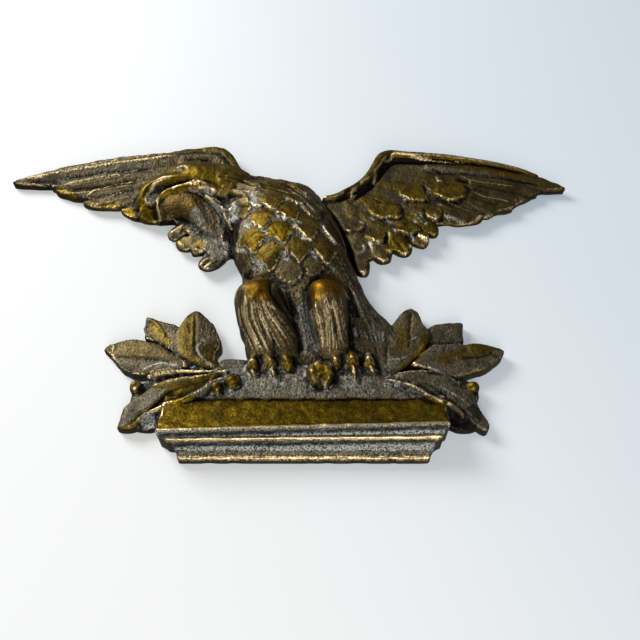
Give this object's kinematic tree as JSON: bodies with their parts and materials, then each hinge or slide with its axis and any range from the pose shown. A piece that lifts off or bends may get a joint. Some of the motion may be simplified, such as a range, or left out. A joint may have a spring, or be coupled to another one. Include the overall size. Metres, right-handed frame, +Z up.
{
  "type": "wall plaque",
  "caption": "Cast brass wall plaque of an eagle with spread wings, standing on a moulded bracket between leaf sprays.",
  "frame": {"origin": "on the flat back in the wall's plane, behind the breast", "axes": "+X to the viewer's right along the wings, +Y into the wall, +Z up, with the relief facing -Y"},
  "size_m": [0.305, 0.0261, 0.1897],
  "materials": {
    "brass": "aged sand-cast brass, dark olive brown with worn golden ridges"
  },
  "bodies": {
    "root": {"eagle_plaque": "brass"}
  },
  "joints": []
}
